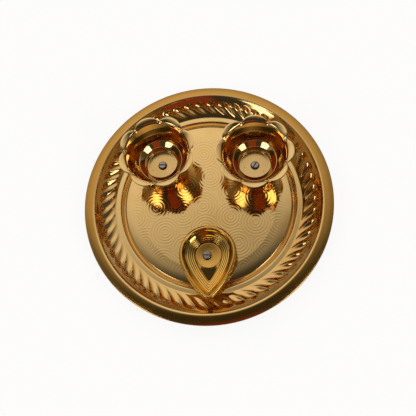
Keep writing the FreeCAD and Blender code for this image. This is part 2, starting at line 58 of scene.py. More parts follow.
# Plate. Points are (radius, height) and corners are (radius, height, fillet).
SHEET = 0.8
FLOOR_RADIUS = 50.0
FLOOR_HEIGHT = 3.6
FLOOR_BEND = (57.0, 3.2)
FLOOR_EDGE = (61.0, 2.6)
GROOVE_RADII = (62.2, 63.0)
LEDGE_START = 64.4
LEDGE_HEIGHT = 4.2
UNDERSIDE_SHIFT = 0.5
LIP_AND_FLANGE = (
    (81.6, 12.3, 1.0),
    (82.1, 12.95, 0.4),
    (83.1, 13.2, 0.6),
    (84.2, 13.15, 1.2),
    (86.8, 12.75, 1.5),
    (89.0, 12.1, 0.4),
)
FLANGE_START = 83.2
FLANGE_UNDERSIDE = ((88.46, 11.3, 0.2), (84.0, 12.4, 0.8), (83.2, 12.4, 0.5), (82.4, 12.0, 0.3))
ROLL_CENTRE = (89.1, 11.2)
ROLL_RADIUS = 0.9
ROLL_FILLET = 0.3
HOLE_COLUMNS = 32
CUTTER_REACH = 2.5

# Flutes, the scoops in the plate's wall. A width of 1 would fill the pitch.
FLUTE_START = 68.4
FLUTE_END = 79.2
FLUTE_SPRING = 76.4
FLUTE_SCOOP = 74.6
FLUTE_SLOPE = 0.33
FLUTE_RISE = 6.4
FLUTE_POWER = 1.15
FLUTE_WIDTH = 0.94
SCOOP_POWER = 2.4
FLUTE_COUNT = 56
FLUTE_TWIST = math.radians(8.6)
FLUTE_LEAN = 0.35
FLUTE_SHEET = 1.1
FLUTE_COLUMNS = 20
FLUTE_ROWS = 44
FLUTE_UNDER_ROWS = 26
RIDGE_SOFTNESS = 0.12
PLATE_COLUMNS = FLUTE_COUNT * FLUTE_COLUMNS

# Polishing swirls on the floor: rings of marks as (distance from the centre, count, first angle)
SWIRLS = ((4.6, 1, 220.0), (54.0, 17, 3.0), (20.0, 6, 27.0), (38.0, 12, 7.0))
SWIRL_SPACING = 2.1
SWIRL_DEPTH = 0.013
SWIRL_REACH = 12.5
SWIRL_FADE = 2.5
SWIRL_LIMIT = 56.0
SWIRL_LIMIT_FADE = 4.0

# Cup. Heights are above its floor, which lies one wall above its base.
CUP_FOOT = 3.75
CUP_WALL = 1.0
CUP_DEPTH = 27.6
CUP_FLOOR_RADIUS = 11.8
CUP_WELL_RADIUS = 12.0
CUP_WELL = 7.2
CUP_RING_RADIUS = 15.5
CUP_RING = 10.0
CUP_STEP = 0.4
CUP_STEP_RISE = 0.1
CUP_FLARE_INSET = 0.8
CUP_FLARE_DROP = 2.7
CUP_COLLAR_DROP = 2.0
CUP_OUTSIDE_DROP = 0.4
MOUTH_RADIUS = 22.9
TACK_RADIUS = 8.0
TACK_MARKS = {"left_cup": (330.0, 106.0, 243.0), "right_cup": (7.0, 126.0, 257.0)}

# Petals. Places along a petal are shares of the way from its middle to its end.
PETAL_CENTRE = 16.5
PETAL_RADIUS = 10.95
PETAL_COUNT = 8
PETAL_RISE = 1.2
PETAL_INSET = 0.15
PETAL_CURL = 1.25
CURL_START = 0.5
CURL_AT_MOUTH = 0.35
PETAL_NICK = 0.9
NICK_START = 0.78
CUP_COLUMNS = PETAL_COUNT * 44
# Rings across a petal, as (share of the way out, depth below its top)
PETAL_DOME = (
    (0.0, 0.4),
    (0.06, 0.16),
    (0.16, 0.04),
    (0.35, 0.0),
    (0.5, 0.0),
    (0.65, 0.03),
    (0.8, 0.08),
    (0.92, 0.2),
)
# Rings round its rolled edge, as (distance inside the outline, depth, share of the curl)
PETAL_EDGE = ((0.0, 0.42, 1.0), (0.0, 0.7, 0.8), (0.12, 0.9, 0.6))

# The ring under a cup
FOOT_INNER = 9.2
FOOT_NECK = 11.6
FOOT_OUTER = 13.2
FOOT_FLARE = 2.6
FOOT_EDGE = 1.0
FOOT_COLUMNS = 128

# Lamp. Insets are from its outline and heights from the plate's floor.
LAMP_RADIUS = 20.3
LAMP_SIDE = 57.0
LAMP_TIP = 5.2
LAMP_REACH = 27.0
LAMP_OFFSET = 1.0
SEAT_RADIUS = 8.9
SEAT_FLAT = 4.0
SEAT_HEIGHT = 2.7
SEAT_DISH = 0.5
SEAT_SIDE = 0.05
WELL_INSET = 11.1
WELL_TIP = 1.2
WELL_HEIGHT = 2.65
FALL_START = 9.1
FALL_SLOPE = 0.2126
TERRACES = 4
TERRACE_INSET = 5.6
TERRACE_HEIGHT = 6.9
TREAD_WIDTH = 0.75
TREAD_DROP = 0.15
RISER_WIDTH = 0.53
RISER_DROP = 0.75
TERRACE_FILLET = 0.16
# The wall, the rim, the bevel and the base, as (inset, height, fillet)
LAMP_RIM = ((3.7, 8.6, 1.0), (2.5, 11.0, 0.3), (1.4, 11.0, 0.35), (0.0, 9.2, 0.5), (8.5, 0.0, 0.4))
SHARPEST_TIP = 0.5
LAMP_COLUMNS = 480
TIP_CROWDING = 1.5

# How far the middles of the arcs along the lamp's sides lie towards its tip
SIDE_ALONG = (
    (LAMP_SIDE - LAMP_RADIUS) ** 2 - (LAMP_SIDE - LAMP_TIP) ** 2 + LAMP_REACH ** 2
) / (2 * LAMP_REACH)

# Fasteners
SHANK = 1.5
HOLE_GAP = 0.1
RUNNING_GAP = 0.06
HEAD_RADIUS = 2.8
HEAD_HEIGHT = 1.9
HEAD_FILLET = 0.55
SLOT_LENGTH = 6.2
SLOT_WIDTH = 0.8
SLOT_FLOOR = 1.0
THREAD_PITCH = 0.5
THREAD_DEPTH = 0.26
THREAD_STEP = 0.08
POINT_SHOULDER = 1.22
POINT_RADIUS = 1.1
POINT_LENGTH = 0.15
SCREW_COLUMNS = 64
CUP_SCREW_LENGTH = 8.0
LAMP_SCREW_LENGTH = 6.0
WASHER_RADIUS = 3.5
WASHER_HEIGHT = 0.5
NUT_HEIGHT = 1.8
NUT_HALF = 2.75
NUT_CORNER = 3.12
NUT_FACE = 2.6
NUT_CHAMFER = 0.58
NUT_BORE = 1.52
NUT_MOUTH = 1.75
NUT_BEVEL = 0.25
NUT_COLUMNS = 96

# Points across each rounded corner
RING_POINTS = 5


# Meshes


def smooth_step(value, low, high):
    share = np.clip((value - low) / (high - low), 0, 1)
    return share * share * (3 - 2 * share)


def turns(columns):
    """The angle of each column of a ring."""
    return np.arange(columns) * 2 * math.pi / columns


def ring(radius, height, columns, start=0.0):
    """A ring of points. The radius and the height are numbers or one value for each column."""
    angle = start + turns(columns)
    height = np.broadcast_to(height, columns)
    return np.stack([radius * np.cos(angle), radius * np.sin(angle), height], axis=1)


def toward(start, end, length):
    """Points that lie a length from start towards end, at most 45% of the way."""
    gap = np.linalg.norm(end - start, axis=1, keepdims=True)
    share = np.minimum(length / np.maximum(gap, 1e-9), 0.45)
    return start + (end - start) * share


def rounded(corners, step, closed=True):
    """Rings of points along the corner rings, each given as (ring, fillet length)."""
    count = len(corners)
    groups = []
    for index, (here, fillet) in enumerate(corners):
        at_end = not closed and index in (0, count - 1)
        if at_end or not fillet:
            groups.append([here])
            continue
        start = toward(here, corners[index - 1][0], fillet)
        end = toward(here, corners[(index + 1) % count][0], fillet)
        shares = np.linspace(0, 1, RING_POINTS)
        groups.append([(1 - t) ** 2 * start + 2 * t * (1 - t) * here + t * t * end for t in shares])
    rows = []
    for index, group in enumerate(groups):
        rows += group
        if closed or index < count - 1:
            start, end = group[-1], groups[(index + 1) % count][0]
            longest = np.linalg.norm(end - start, axis=1).max()
            pieces = max(1, math.ceil(longest / step))
            rows += [start + (end - start) * k / pieces for k in range(1, pieces)]
    return rows


def turned_rings(corners, columns):
    """Round rings for corners given as (radius, height, fillet)."""
    return [(ring(radius, height, columns), fillet) for radius, height, fillet in corners]


def bridge(first, second):
    """Faces between two closed loops of vertex numbers."""
    return np.stack([first, second, np.roll(second, -1), np.roll(first, -1)], axis=1)


def fan(centre, loop):
    """Triangles from a centre to a closed loop of vertex numbers."""
    return [(centre, a, b) for a, b in zip(loop.tolist(), np.roll(loop, -1).tolist())]


def mesh_object(name, points, faces, sharp_angle=40.0):
    """A smooth-shaded object, with the edges that are sharper than an angle kept sharp."""
    mesh = bpy.data.meshes.new(name)
    mesh.from_pydata(np.asarray(points) * MM, [], faces)
    mesh.validate()
    mesh.shade_smooth()
    mesh.set_sharp_from_angle(angle=math.radians(sharp_angle))
    made = bpy.data.objects.new(name, mesh)
    bpy.context.scene.collection.objects.link(made)
    return made


def lathe(name, rows, closed=True, place=(0.0, 0.0, 0.0), turn=0.0, sharp_angle=40.0):
    """An object from rings of points. An open stack of rings is closed by a fan at each end."""
    columns = len(rows[0])
    points = np.concatenate(rows)
    loops = np.arange(len(rows) * columns).reshape(len(rows), columns)
    faces = [bridge(loops[k], loops[k + 1]) for k in range(len(rows) - 1)]
    if closed:
        faces.append(bridge(loops[-1], loops[0]))
        faces = np.concatenate(faces)
    else:
        first, last = len(points), len(points) + 1
        points = np.concatenate([points, [rows[0].mean(axis=0)], [rows[-1].mean(axis=0)]])
        faces = np.concatenate(faces).tolist() + fan(first, loops[0])
        faces += [triangle[::-1] for triangle in fan(last, loops[-1])]
    return mesh_object(name, moved(points, place, turn), faces, sharp_angle)


def moved(points, place, turn):
    """Points turned about the upright axis, in degrees, and then moved."""
    cosine, sine = math.cos(math.radians(turn)), math.sin(math.radians(turn))
    x = points[:, 0] * cosine - points[:, 1] * sine
    y = points[:, 0] * sine + points[:, 1] * cosine
    return np.stack([x, y, points[:, 2]], axis=1) + np.asarray(place)


def cut(piece, cutters):
    """Cut closed meshes out of a closed mesh."""
    for cutter in cutters:
        modifier = piece.modifiers.new("cut", "BOOLEAN")
        modifier.operation = "DIFFERENCE"
        modifier.solver = "MANIFOLD"
        modifier.object = cutter
    apply_modifiers(piece)
    for cutter in cutters:
        bpy.data.objects.remove(cutter)


def apply_modifiers(piece):
    graph = bpy.context.evaluated_depsgraph_get()
    mesh = bpy.data.meshes.new_from_object(piece.evaluated_get(graph))
    piece.modifiers.clear()
    piece.data = mesh


def stand_for(piece, node, body, material):
    """The piece replaces a CAD node, moves with its body and takes its finish."""
    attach(piece, body)
    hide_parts(node)
    piece.data.materials.clear()
    piece.data.materials.append(material)


# Plate


def flute_height(radius, across):
    """How high the wall stands at a radius and at a place across a flute, -1 to 1."""
    along = (radius - FLUTE_START) / (FLUTE_END - FLUTE_START)
    ridge = LEDGE_HEIGHT + FLUTE_RISE * along ** FLUTE_POWER
    straight = LEDGE_HEIGHT + FLUTE_SLOPE * (radius - FLUTE_START)
    left_over = FLUTE_RISE - FLUTE_SLOPE * (FLUTE_END - FLUTE_START)
    scoop = max(0.0, (radius - FLUTE_SCOOP) / (FLUTE_END - FLUTE_SCOOP))
    channel = min(ridge, straight + left_over * scoop ** SCOOP_POWER)
    up_arch = max(0.0, (radius - FLUTE_SPRING) / (FLUTE_END - FLUTE_SPRING))
    half_width = FLUTE_WIDTH * math.sqrt(max(1e-4, 1 - up_arch * up_arch))
    bowl = 1 - (across / half_width) ** 2
    soft_bowl = (bowl + np.sqrt(bowl * bowl + RIDGE_SOFTNESS ** 2)) / 2
    return ridge - (ridge - channel) * np.minimum(soft_bowl, 1.0)


def flute_turn(radius):
    """The angle at which the plate's first column stands. It turns back down the slanted flutes."""
    back = min(1.0, max(0.0, (FLUTE_END - radius) / (FLUTE_END - FLUTE_START)))
    return -FLUTE_TWIST * back * (FLUTE_LEAN + (1 - FLUTE_LEAN) * back) - math.pi / FLUTE_COUNT


def flute_rows(count, underside):
    """Rings of points up the fluted wall."""
    across = np.tile(2 * np.arange(FLUTE_COLUMNS) / FLUTE_COLUMNS - 1, FLUTE_COUNT)
    rows = []
    for share in np.linspace(0, 1, count):
        radius = FLUTE_START + (FLUTE_END - FLUTE_START) * share
        sunk = SHEET + (FLUTE_SHEET - SHEET) * share if underside else 0.0
        height = flute_height(radius, across) - sunk
        rows.append(ring(radius, height, PLATE_COLUMNS, flute_turn(radius)))
    return rows


def plate_rows(corners, step):
    """Rings along the plate's profile through corners given as (radius, height, fillet)."""
    rings = []
    for radius, height, fillet in corners:
        rings.append((ring(radius, height, PLATE_COLUMNS, flute_turn(radius)), fillet))
    return rounded(rings, step, closed=False)


def rolled_edge():
    """Corners round the rolled edge, from its outer side to the inside of its underside."""
    corners = []
    for angle in np.radians(range(45, -136, -45)):
        radius = ROLL_CENTRE[0] + ROLL_RADIUS * math.cos(angle)
        height = ROLL_CENTRE[1] + ROLL_RADIUS * math.sin(angle)
        corners.append((radius, height, ROLL_FILLET))
    return corners


def plate_top_rows():
    """Rings from the edge of the flat floor to the underside of the rolled edge."""
    groove_floor = SHEET
    inner = plate_rows([
        (FLOOR_RADIUS, FLOOR_HEIGHT, 0),
        (*FLOOR_BEND, 2.5),
        (*FLOOR_EDGE, 0.5),
        (GROOVE_RADII[0], groove_floor, 0.35),
        (GROOVE_RADII[1], groove_floor, 0.35),
        (LEDGE_START, LEDGE_HEIGHT, 0.9),
        (FLUTE_START, LEDGE_HEIGHT, 0),
    ], step=0.5)
    wall_top = LEDGE_HEIGHT + FLUTE_RISE
    outer = plate_rows([
        (FLUTE_END, wall_top, 0),
        *LIP_AND_FLANGE,
        *rolled_edge(),
        *FLANGE_UNDERSIDE,
        (FLUTE_END, wall_top - FLUTE_SHEET, 0),
    ], step=0.45)
    return inner[:-1] + flute_rows(FLUTE_ROWS, underside=False) + outer[1:-1]


def plate_under_rows():
    """Rings from the top of the fluted wall's underside to the edge of the floor's underside."""
    wall = flute_rows(FLUTE_UNDER_ROWS, underside=True)[::-1]
    inner = plate_rows([
        (FLUTE_START, LEDGE_HEIGHT - SHEET, 0),
        (LEDGE_START + UNDERSIDE_SHIFT, LEDGE_HEIGHT - SHEET, 0.6),
        (GROOVE_RADII[1] + UNDERSIDE_SHIFT, 0.0, 0.5),
        (GROOVE_RADII[0] - UNDERSIDE_SHIFT, 0.0, 0.5),
        (FLOOR_EDGE[0] - UNDERSIDE_SHIFT, FLOOR_EDGE[1] - SHEET, 0.5),
        (FLOOR_BEND[0], FLOOR_BEND[1] - SHEET, 2.5),
        (FLOOR_RADIUS, FLOOR_HEIGHT - SHEET, 0),
    ], step=0.8)
    return wall + inner[1:]


def disc(rim, height, flip):
    """Points and faces that fill a ring of points, with the numbers of the points on its rim."""
    half = len(rim) // 8
    steps = np.arange(-half, half + 1) / half
    a, b = np.meshgrid(steps, steps, indexing="ij")
    wide = np.abs(a) > np.abs(b)
    safe_a = np.where(a == 0, 1, a)
    safe_b = np.where(b == 0, 1, b)
    size = np.where(wide, a, b)
    angle = np.where(wide, math.pi / 4 * b / safe_a, math.pi / 2 - math.pi / 4 * a / safe_b)
    angle = angle + math.atan2(rim[0][1], rim[0][0]) + math.pi / 4
    radius = size * math.hypot(rim[0][0], rim[0][1])
    points = np.stack([radius * np.cos(angle), radius * np.sin(angle), np.full_like(a, height)], axis=-1)
    side = 2 * half + 1
    number = np.arange(side * side).reshape(side, side)
    quads = np.stack([number[:-1, :-1], number[1:, :-1], number[1:, 1:], number[:-1, 1:]], axis=-1)
    quads = quads.reshape(-1, 4)
    edge = np.concatenate([number[-1, :-1], number[:0:-1, -1], number[0, :0:-1], number[:-1, 0]])
    return points.reshape(-1, 3), quads[:, ::-1] if flip else quads, edge


def swirl_height(points):
    """The polishing swirls, -1 to 1: rings about many centres, each new one over the last."""
    height = np.zeros(len(points))
    for distance, count, first in SWIRLS:
        for index in range(count):
            angle = math.radians(first + 360.0 * index / count)
            centre = np.array([distance * math.cos(angle), distance * math.sin(angle)])
            away = np.linalg.norm(points[:, :2] - centre, axis=1)
            wave = np.cos(2 * math.pi * away / SWIRL_SPACING)
            cover = smooth_step(SWIRL_REACH - away, 0.0, SWIRL_FADE)
            height = height * (1 - cover) + wave * cover
    to_limit = SWIRL_LIMIT - np.linalg.norm(points[:, :2], axis=1)
    return height * smooth_step(to_limit, 0.0, SWIRL_LIMIT_FADE)


def plate():
    """The pressed plate: a floor with swirls, a foot ring, a ledge, flutes, a lip and a rolled edge."""
    rows = plate_top_rows() + plate_under_rows()
    floor_points, floor_faces, floor_edge = disc(rows[0], FLOOR_HEIGHT, flip=False)
    base_points, base_faces, base_edge = disc(rows[-1], FLOOR_HEIGHT - SHEET, flip=True)
    middle = rows[1:-1]
    loops = np.arange(len(middle) * PLATE_COLUMNS).reshape(len(middle), PLATE_COLUMNS)
    loops = loops + len(floor_points)
    base_offset = len(floor_points) + len(middle) * PLATE_COLUMNS
    faces = [floor_faces, bridge(floor_edge, loops[0])]
    faces += [bridge(loops[k], loops[k + 1]) for k in range(len(middle) - 1)]
    faces += [bridge(loops[-1], base_edge + base_offset), base_faces + base_offset]
    points = np.concatenate([floor_points, *middle, base_points])
    upper_side = points[:, 2] > FLOOR_BEND[1] - SHEET / 4
    swirl = np.where(upper_side, swirl_height(points), 0)
    points[:, 2] += swirl * SWIRL_DEPTH
    made = mesh_object("plate_visual", points, np.concatenate(faces), sharp_angle=50.0)
    made.data.attributes.new("swirl", "FLOAT", "POINT").data.foreach_set("value", swirl)
    cut(made, [hole_cutter(x, y) for x, y in [c[:2] for c in CUPS.values()] + [LAMP_AT]])
    return made


def hole_cutter(x, y):
    heights = (FLOOR_HEIGHT - CUTTER_REACH, FLOOR_HEIGHT + CUTTER_REACH)
    rows = [ring(SHANK + HOLE_GAP, height, HOLE_COLUMNS) for height in heights]
    return lathe("cutter", rows, closed=False, place=(x, y, 0))


# Cups


def petal_outline():
    """Radius of the scalloped edge, and how far each place is from a petal's middle, 0 to 1."""
    pitch = 2 * math.pi / PETAL_COUNT
    off = (turns(CUP_COLUMNS) - math.pi / 2 + pitch / 2) % pitch - pitch / 2
    radius = PETAL_CENTRE * np.cos(off) + np.sqrt(PETAL_RADIUS ** 2 - (PETAL_CENTRE * np.sin(off)) ** 2)
    return radius, np.abs(off) / (pitch / 2)


def petal_rows(mouth):
    """Rings across the petals, from the mouth's edge to the outer edge and back under."""
    outline, off = petal_outline()
    inner = MOUTH_RADIUS + PETAL_NICK * smooth_step(off, NICK_START, 1.0)
    curl = PETAL_CURL * np.clip((off - CURL_START) / (1 - CURL_START), 0, 1) ** 2
    rows = []
    for share, dome in PETAL_DOME:
        radius = inner + (outline - PETAL_INSET - inner) * share
        curled = curl * (CURL_AT_MOUTH + (1 - CURL_AT_MOUTH) * share)
        sunk = dome + curled + PETAL_RISE * (1 - share)
        rows.append(ring(radius, mouth - sunk, CUP_COLUMNS))
    for inset, depth, share in PETAL_EDGE:
        rows.append(ring(outline - inset, mouth - depth - curl * share, CUP_COLUMNS))
    return rows


def cup(name):
    """A turned bowl with a step inside it and eight petals round its mouth."""
    x, y, turn = CUPS[name]
    floor = CUP_WALL
    well = floor + CUP_WELL
    step = floor + CUP_RING
    mouth = floor + CUP_DEPTH
    petals = petal_rows(mouth)
    hole = SHANK + RUNNING_GAP
    inside = turned_rings([
        (hole, floor, 0),
        (CUP_FLOOR_RADIUS, floor, 0.9),
        (CUP_WELL_RADIUS, well, 0.3),
        (CUP_RING_RADIUS, step, 0.45),
        (CUP_RING_RADIUS + CUP_STEP, step + CUP_STEP_RISE, 0.3),
        (MOUTH_RADIUS - CUP_FLARE_INSET, mouth - CUP_FLARE_DROP, 1.0),
    ], CUP_COLUMNS)
    outside = turned_rings([
        (MOUTH_RADIUS + 0.6 * CUP_WALL, mouth - CUP_COLLAR_DROP, 0.4),
        (CUP_RING_RADIUS + 1.3 * CUP_WALL, step - CUP_OUTSIDE_DROP, 0.8),
        (CUP_WELL_RADIUS + CUP_WALL, well - CUP_OUTSIDE_DROP, 0.8),
        (CUP_FLOOR_RADIUS + 0.8 * CUP_WALL, 0.0, 0.4),
        (hole, 0.0, 0),
    ], CUP_COLUMNS)
    inside = rounded([*inside, (petals[0], 0)], step=0.55, closed=False)
    outside = rounded([(petals[-1], 0), *outside], step=0.9, closed=False)
    rows = inside[:-1] + petals + outside[1:]
    place = (x, y, FLOOR_HEIGHT + CUP_FOOT)
    return lathe(name + "_visual", rows, place=place, turn=turn, sharp_angle=50.0)


def cup_foot(name):
    """The flared ring that a cup stands on."""
    x, y, _ = CUPS[name]
    rings = turned_rings([
        (FOOT_INNER, 0.0, 0.2),
        (FOOT_INNER, CUP_FOOT, 0.2),
        (FOOT_NECK, CUP_FOOT, 0.2),
        (FOOT_NECK, FOOT_FLARE, 0.8),
        (FOOT_OUTER, FOOT_EDGE, 0.35),
        (FOOT_OUTER, 0.0, 0.2),
    ], FOOT_COLUMNS)
    return lathe(name + "_foot_visual", rounded(rings, step=0.5), place=(x, y, FLOOR_HEIGHT))


# Lamp


def teardrop(angle, inset, tip):
    """Distance from the round end's middle to a teardrop inside the lamp's outline, per angle.

    Its sides are arcs that touch the round end and the tip, whose own radius is given.
    """
    radius = LAMP_RADIUS - inset
    side = LAMP_SIDE - inset
    out = math.sqrt((side - radius) ** 2 - SIDE_ALONG ** 2)
    reach = SIDE_ALONG + math.sqrt((side - tip) ** 2 - out ** 2)
    x, y = np.abs(np.cos(angle)), np.sin(angle)
    toward_side = -x * out - y * SIDE_ALONG
    side_hit = toward_side + np.sqrt(toward_side ** 2 - (out ** 2 + SIDE_ALONG ** 2) + side ** 2)
    toward_tip = -y * reach
    tip_hit = toward_tip + np.sqrt(np.maximum(toward_tip ** 2 - reach ** 2 + tip ** 2, 0))
    round_end = math.atan2(SIDE_ALONG, out)
    tip_share = tip / (side - tip)
    tip_start = math.atan2(-reach - (reach - SIDE_ALONG) * tip_share, out * tip_share)
    up = np.arctan2(y, x)
    return np.where(up > round_end, radius, np.where(up > tip_start, side_hit, tip_hit))


def lamp_angles():
    """The angle of each column of the lamp's rings. They stand closer together at the tip."""
    half = LAMP_COLUMNS // 2
    share = np.arange(-half, half) / half
    return -math.pi / 2 + math.pi * np.sign(share) * np.abs(share) ** TIP_CROWDING


def lamp_ring(distance, height):
    """A ring round the middle of the lamp's round end."""
    angle = lamp_angles()
    height = np.broadcast_to(height, LAMP_COLUMNS)
    return np.stack([distance * np.cos(angle) + LAMP_OFFSET, distance * np.sin(angle), height], axis=1)


def lamp_contour(inset, height):
    """A ring along the lamp's outline, at an inset and a height."""
    return lamp_ring(teardrop(lamp_angles(), inset, max(SHARPEST_TIP, LAMP_TIP - inset)), height)


def well_ring(distance):
    """A ring on the well's floor, which falls towards the tip."""
    past_start = np.maximum(0.0, -distance * np.sin(lamp_angles()) - FALL_START)
    return lamp_ring(distance, WELL_HEIGHT - FALL_SLOPE * past_start)


def lamp_hole(height):
    """A ring round the screw's hole, which is off the round end's middle."""
    angle = lamp_angles()
    toward_hole = -LAMP_OFFSET * np.cos(angle)
    beside_hole = LAMP_OFFSET * np.sin(angle)
    reach = toward_hole + np.sqrt((SHANK + RUNNING_GAP) ** 2 - beside_hole ** 2)
    return lamp_ring(reach, height)


def terraces():
    """Corners of the terraces, from the top one down to the well's edge."""
    inset, height = TERRACE_INSET, TERRACE_HEIGHT
    corners = []
    for _ in range(TERRACES):
        corners.append((lamp_contour(inset, height), TERRACE_FILLET))
        inset, height = inset + TREAD_WIDTH, height - TREAD_DROP
        corners.append((lamp_contour(inset, height), TERRACE_FILLET))
        inset, height = inset + RISER_WIDTH, height - RISER_DROP
    corners.append((lamp_contour(inset, height), 0.2))
    return corners


def lamp():
    """A cast teardrop lamp: a bevelled rim, a bent wall, terraces, a well and a dished seat."""
    rings = [
        (lamp_hole(SEAT_HEIGHT), 0),
        (lamp_ring(SEAT_FLAT, SEAT_HEIGHT), 1.5),
        (lamp_ring(SEAT_RADIUS, SEAT_HEIGHT + SEAT_DISH), 0.12),
        (well_ring(SEAT_RADIUS + SEAT_SIDE), 0.05),
        (well_ring(teardrop(lamp_angles(), WELL_INSET, WELL_TIP)), 0.5),
    ]
    rings += terraces()[::-1]
    rings += [(lamp_contour(inset, height), fillet) for inset, height, fillet in LAMP_RIM]
    rings.append((lamp_hole(0.0), 0))
    place = (*LAMP_AT, FLOOR_HEIGHT)
    return lathe("lamp_visual", rounded(rings, step=0.6), place=place, turn=LAMP_TURN, sharp_angle=50.0)


# Fasteners


def screw(name, length, x, y, z, turn):
    """A slotted machine screw with a rounded head and a cut thread. Its head's underside is at z."""
    head = turned_rings([
        (0.2, HEAD_HEIGHT, 0),
        (HEAD_RADIUS, HEAD_HEIGHT, HEAD_FILLET),
        (HEAD_RADIUS, 0.0, 0.15),
        (SHANK, 0.0, 0),
    ], SCREW_COLUMNS)
    rows = rounded(head, step=0.4, closed=False)
    around = turns(SCREW_COLUMNS) / (2 * math.pi)
    for down in np.arange(0.1, length - 0.3, THREAD_STEP):
        along = (down / THREAD_PITCH + around) % 1.0
        depth = THREAD_DEPTH * (1 - np.abs(2 * along - 1)) * min(1.0, down)
        rows.append(ring(SHANK - depth, -down, SCREW_COLUMNS))
    rows.append(ring(POINT_SHOULDER, -length + POINT_LENGTH, SCREW_COLUMNS))
    rows.append(ring(POINT_RADIUS, -length, SCREW_COLUMNS))
    made = lathe(name + "_visual", rows[::-1], closed=False, place=(x, y, z), turn=turn, sharp_angle=35.0)
    slot_height = 2 * SLOT_FLOOR
    slot = (SLOT_LENGTH, SLOT_WIDTH, slot_height)
    cut(made, [box_cutter(slot, (x, y, z + SLOT_FLOOR + slot_height / 2), turn)])
    return made


def box_cutter(size, place, turn):
    half = np.array(size) / 2
    signs = np.array([(i, j, k) for i in (-1, 1) for j in (-1, 1) for k in (-1, 1)])
    faces = [(0, 1, 3, 2), (4, 6, 7, 5), (0, 4, 5, 1), (2, 3, 7, 6), (0, 2, 6, 4), (1, 5, 7, 3)]
    return mesh_object("cutter", moved(signs * half, place, turn), faces)


def washer(name, x, y):
    rings = turned_rings([
        (SHANK + HOLE_GAP, -WASHER_HEIGHT, 0.06),
        (SHANK + HOLE_GAP, 0.0, 0.06),
        (WASHER_RADIUS, 0.0, 0.14),
        (WASHER_RADIUS, -WASHER_HEIGHT, 0.06),
    ], SCREW_COLUMNS)
    return lathe(name + "_visual", rounded(rings, step=0.5), place=(x, y, FLOOR_HEIGHT - SHEET))


def nut(name, x, y):
    """A thin hexagonal nut with chamfered corners."""
    side = math.pi / 3
    hexagon = NUT_HALF / np.cos((turns(NUT_COLUMNS) % side) - side / 2)
    hexagon = np.minimum(hexagon, NUT_CORNER)
    fall = np.maximum(hexagon - NUT_FACE, 0) * NUT_CHAMFER
    rings = turned_rings([
        (NUT_BORE, NUT_BEVEL, 0),
        (NUT_BORE, NUT_HEIGHT - NUT_BEVEL, 0),
        (NUT_MOUTH, NUT_HEIGHT, 0),
        (NUT_FACE, NUT_HEIGHT, 0),
        (hexagon, NUT_HEIGHT - fall, 0.08),
        (hexagon, fall, 0.08),
        (NUT_FACE, 0.0, 0),
        (NUT_MOUTH, 0.0, 0),
    ], NUT_COLUMNS)
    bottom = FLOOR_HEIGHT - SHEET - WASHER_HEIGHT - NUT_HEIGHT
    return lathe(name + "_visual", rounded(rings, step=0.4), place=(x, y, bottom), sharp_angle=25.0)


# Materials


class Shader:
    """Adds nodes to a material or world and links them, so that a look reads as a formula."""

    def __init__(self, tree):
        self.tree = tree
        tree.nodes.clear()

    def feed(self, socket, value):
        if isinstance(value, bpy.types.NodeSocket):
            self.tree.links.new(value, socket)
        else:
            socket.default_value = value

    def add(self, kind, inputs=None, **settings):
        node = self.tree.nodes.new(kind)
        for key, value in settings.items():
            setattr(node, key, value)
        for key, value in (inputs or {}).items():
            self.feed(node.inputs[key], value)
        return node

    def math(self, operation, *terms, clamp=False):
        inputs = dict(enumerate(terms))
        return self.add("ShaderNodeMath", inputs, operation=operation, use_clamp=clamp).outputs[0]

    def vector(self, operation, *terms):
        node = self.add("ShaderNodeVectorMath", dict(enumerate(terms)), operation=operation)
        return node.outputs["Value" if operation in ("LENGTH", "DOT_PRODUCT") else "Vector"]

    def noise(self, place, scale, detail=2.0, roughness=0.5):
        inputs = {"Vector": place, "Scale": scale, "Detail": detail, "Roughness": roughness}
        return self.add("ShaderNodeTexNoise", inputs).outputs["Fac"]

    def ramp(self, value, low, high, start=0.0, end=1.0):
        """A value that goes smoothly from start to end as another goes from low to high."""
        inputs = {"Value": value, "From Min": low, "From Max": high, "To Min": start, "To Max": end}
        return self.add("ShaderNodeMapRange", inputs, interpolation_type="SMOOTHSTEP").outputs["Result"]

    def above(self, value, edge, soft):
        """0 below an edge and 1 above it."""
        return self.ramp(value, edge - soft, edge + soft)

    def below(self, value, edge, soft):
        """1 below an edge and 0 above it."""
        return self.ramp(value, edge - soft, edge + soft, 1.0, 0.0)

    def band(self, value, low, high, soft):
        """1 between low and high, 0 outside."""
        return self.math("MULTIPLY", self.above(value, low, soft), self.below(value, high, soft))

    def mix(self, share, first, second):
        node = self.add("ShaderNodeMix", data_type="RGBA")
        self.feed(node.inputs["Factor"], share)
        self.feed(node.inputs[6], first)
        self.feed(node.inputs[7], second)
        return node.outputs[2]

    def show(self, kind, surface):
        """Send a surface or background to the output."""
        output = self.add(kind)
        self.tree.links.new(surface.outputs[0], output.inputs["Surface"])


BRASS = (0.76, 0.53, 0.23, 1.0)
DEEP_BRASS = (0.54, 0.29, 0.065, 1.0)
LAMP_BRASS = (0.78, 0.49, 0.12, 1.0)
STEEL = (0.4, 0.4, 0.41, 1.0)
WARM_STEEL = (0.26, 0.25, 0.25, 1.0)
DARK_STEEL = (0.3, 0.3, 0.31, 1.0)
# Dark colour for tack marks and dirt, and for the painted shade round the screw heads
STAIN_AND_SHADE = (0.05, 0.035, 0.02, 1.0)
WHITE = (1.0, 1.0, 1.0, 1.0)
BLACK = (0.0, 0.0, 0.0, 1.0)
GRAIN_DEPTH = 0.0006 * MM
LEAST_ROUGHNESS = 0.03


